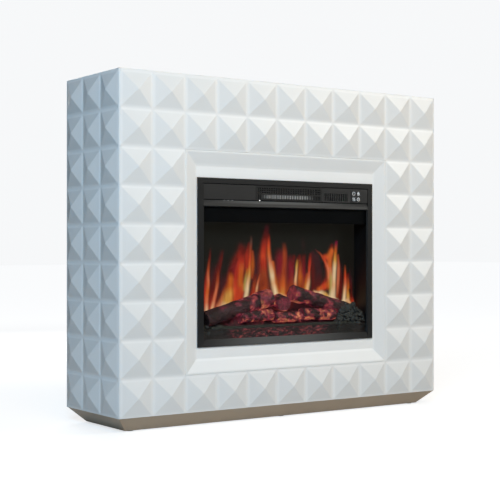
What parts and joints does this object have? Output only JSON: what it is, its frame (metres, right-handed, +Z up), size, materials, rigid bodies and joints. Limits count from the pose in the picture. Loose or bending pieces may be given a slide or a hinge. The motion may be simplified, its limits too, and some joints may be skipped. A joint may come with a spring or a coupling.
{
  "type": "electric fireplace",
  "caption": "Free-standing electric fireplace: white mantel with milled pyramid relief, bevelled recess, black insert with glass front, log bed, flame screen, fan heater and push keys.",
  "frame": {"origin": "floor level, at the middle of the overall width and depth", "axes": "+Z up, the front faces -Y, +X to the right as seen from the front"},
  "size_m": [1.126, 0.313, 0.94],
  "materials": {
    "white_paint": "satin white lacquer on milled MDF",
    "taupe_paint": "satin taupe lacquer on MDF",
    "raw_board": "unpainted MDF and pine",
    "nylon_white": "moulded nylon",
    "zinc_steel": "zinc plated",
    "black_steel": "satin black powder coat",
    "galvanised": "galvanised sheet, spangled",
    "grille_metal": "dark satin metal",
    "black_plastic": "fine moulded texture",
    "key_plastic": null,
    "circuit_board": "solder mask",
    "clear_glass": "clear toughened glass",
    "rubber": "matt",
    "aluminium": "bright rolled",
    "lamp_lens": "clear lens of the indicator lamp",
    "motor_steel": "ground",
    "ceramic": "fired, matt",
    "flame_screen": "frosted acrylic that the flame picture lights from behind",
    "ember_resin": "translucent moulded resin, lit from below",
    "log_resin": "moulded bark, charred",
    "cast_iron": "matt black"
  },
  "bodies": {
    "fireplace": {"front_panel": "white_paint", "left_side_panel": "white_paint", "right_side_panel": "white_paint", "top_panel": "white_paint", "recess_surround": "white_paint", "plinth_front": "taupe_paint", "plinth_rear": "taupe_paint", "plinth_sides": "taupe_paint", "bottom_panel": "raw_board", "niche_shelf": "raw_board", "niche_cheeks": "raw_board", "rear_rails": "raw_board", "corner_battens": "raw_board", "plinth_glides": "nylon_white", "rotor_bushes": "nylon_white", "anti_tip_plates": "zinc_steel", "panel_screws": "zinc_steel", "case_screws": "zinc_steel", "rotor_brackets": "zinc_steel", "trim_frame": "black_steel", "upper_valance": "black_steel", "fascia_panel": "black_steel", "case_left_side": "galvanised", "case_right_side": "galvanised", "case_top": "galvanised", "case_base": "galvanised", "rear_cover": "galvanised", "heater_deck": "galvanised", "power_supply": "galvanised", "heater_grille": "grille_metal", "intake_grille": "black_plastic", "button_bezel": "black_plastic", "cable_gland": "black_plastic", "terminal_block": "black_plastic", "blower_housing": "black_plastic", "thermal_cutout": "black_plastic", "control_board": "circuit_board", "led_boards": "circuit_board", "front_glass": "clear_glass", "insert_feet": "rubber", "pilot_light": "lamp_lens", "flame_mask": "aluminium", "blower_motor": "motor_steel", "rotor_motor": "motor_steel", "heater_element": "ceramic", "flame_screen": "flame_screen", "ember_bed": "ember_resin", "coal_lumps": "ember_resin", "log_left": "log_resin", "log_right": "log_resin", "log_center": "log_resin", "front_logs": "log_resin", "grate_bar": "cast_iron"},
    "key_power": {"button_power": "key_plastic"},
    "key_flame": {"button_flame": "key_plastic"},
    "key_heat": {"button_heat": "key_plastic"},
    "key_timer": {"button_timer": "key_plastic"},
    "rotor": {"rotor_shaft": "motor_steel", "rotor_flags": "aluminium"},
    "fan_wheel": {"blower_wheel": "aluminium"}
  },
  "joints": [
    {"name": "push_power", "type": "slide", "parent": "fireplace", "child": "key_power", "axis": [0, 1, 0], "range_m": [0, 0.0015], "stiffness_N_per_m": 400, "springref_m": -0.002},
    {"name": "push_flame", "type": "slide", "parent": "fireplace", "child": "key_flame", "axis": [0, 1, 0], "range_m": [0, 0.0015], "stiffness_N_per_m": 400, "springref_m": -0.002},
    {"name": "push_heat", "type": "slide", "parent": "fireplace", "child": "key_heat", "axis": [0, 1, 0], "range_m": [0, 0.0015], "stiffness_N_per_m": 400, "springref_m": -0.002},
    {"name": "push_timer", "type": "slide", "parent": "fireplace", "child": "key_timer", "axis": [0, 1, 0], "range_m": [0, 0.0015], "stiffness_N_per_m": 400, "springref_m": -0.002},
    {"name": "rotor_spin", "type": "hinge", "parent": "fireplace", "child": "rotor", "pos_m": [0, -0.022, 0.292], "axis": [1, 0, 0], "continuous": true},
    {"name": "fan_spin", "type": "hinge", "parent": "fireplace", "child": "fan_wheel", "pos_m": [0, -0.062, 0.626], "axis": [1, 0, 0], "continuous": true}
  ]
}
